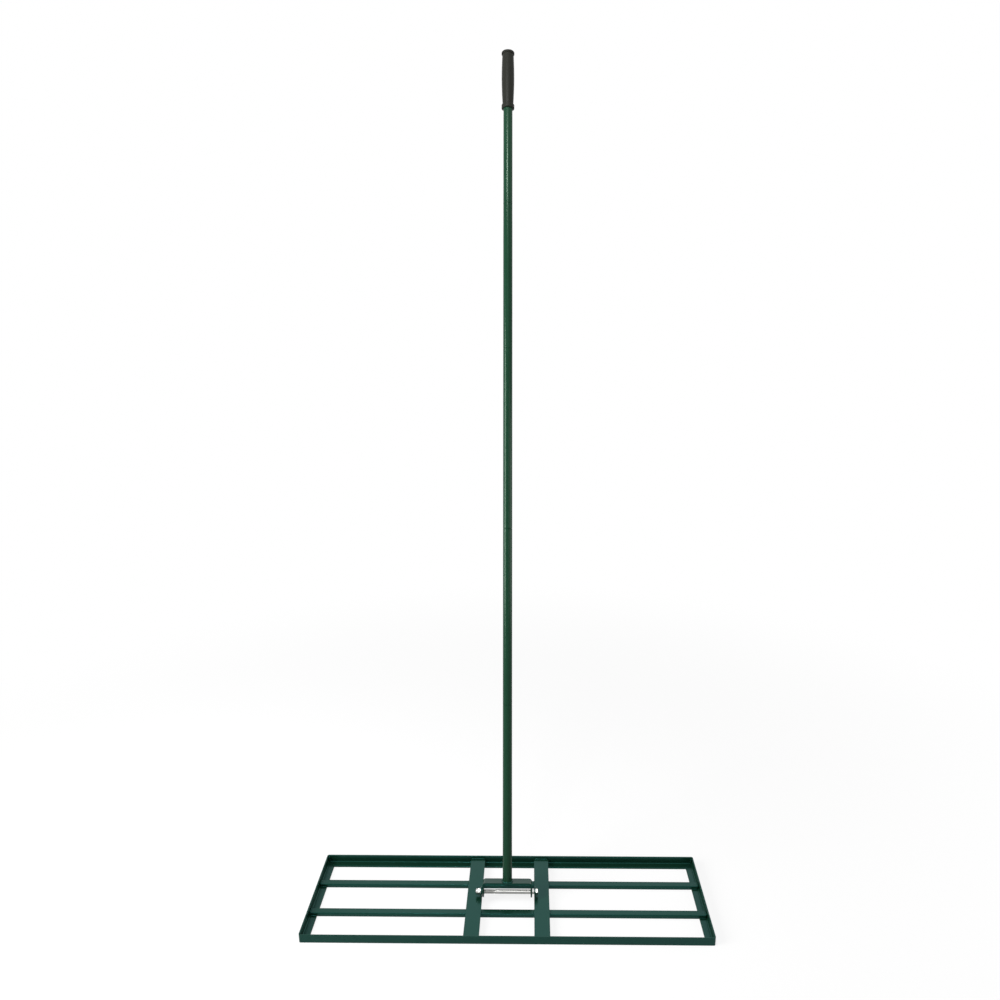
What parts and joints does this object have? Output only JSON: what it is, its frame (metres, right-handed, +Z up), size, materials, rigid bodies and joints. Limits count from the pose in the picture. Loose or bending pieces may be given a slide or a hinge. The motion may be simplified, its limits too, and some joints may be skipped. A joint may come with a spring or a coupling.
{
  "type": "lawn leveling rake",
  "caption": "Flat rectangular steel frame with crossbars and straps, on a long screw-together tube handle that tilts on a through bolt; drawn over a lawn to spread and level soil.",
  "frame": {"origin": "on the ground under the middle of the head, below the pivot bolt", "axes": "+X to the right along the head's width and the pivot bolt, +Y to the back where the handle leans, +Z up"},
  "size_m": [0.914, 0.654, 1.9414],
  "materials": {
    "green_head_coat": "semi-gloss dark green powder coat",
    "green_tube_coat": "semi-gloss dark green powder coat on tube",
    "zinc_hardware": "bright zinc plating",
    "nylon_ring": "natural nylon",
    "plain_steel": "turned plain steel",
    "grip_rubber": "satin moulded rubber"
  },
  "bodies": {
    "head": {"front_rail": "green_head_coat", "rear_rail": "green_head_coat", "left_rail": "green_head_coat", "right_rail": "green_head_coat", "front_crossbar": "green_head_coat", "rear_crossbar": "green_head_coat", "left_strap": "green_head_coat", "right_strap": "green_head_coat", "left_ear": "green_head_coat", "right_ear": "green_head_coat", "pivot_bolt": "zinc_hardware", "pivot_washer": "zinc_hardware", "lock_nut": "zinc_hardware", "lock_nut_ring": "nylon_ring"},
    "handle": {"yoke": "green_head_coat", "handle_tube_1": "green_tube_coat", "handle_tube_2": "green_tube_coat", "handle_tube_3": "green_tube_coat", "handle_tube_4": "green_tube_coat", "handle_tube_5": "green_tube_coat", "joint_insert_1": "plain_steel", "joint_insert_2": "plain_steel", "joint_insert_3": "plain_steel", "joint_insert_4": "plain_steel", "joint_stud_1": "plain_steel", "joint_stud_2": "plain_steel", "joint_stud_3": "plain_steel", "joint_stud_4": "plain_steel", "grip": "grip_rubber"}
  },
  "joints": [
    {"name": "handle_tilt", "type": "hinge", "parent": "head", "child": "handle", "pos_m": [0, 0, 0.025], "axis": [1, 0, 0], "range_deg": [-70, 100]}
  ]
}
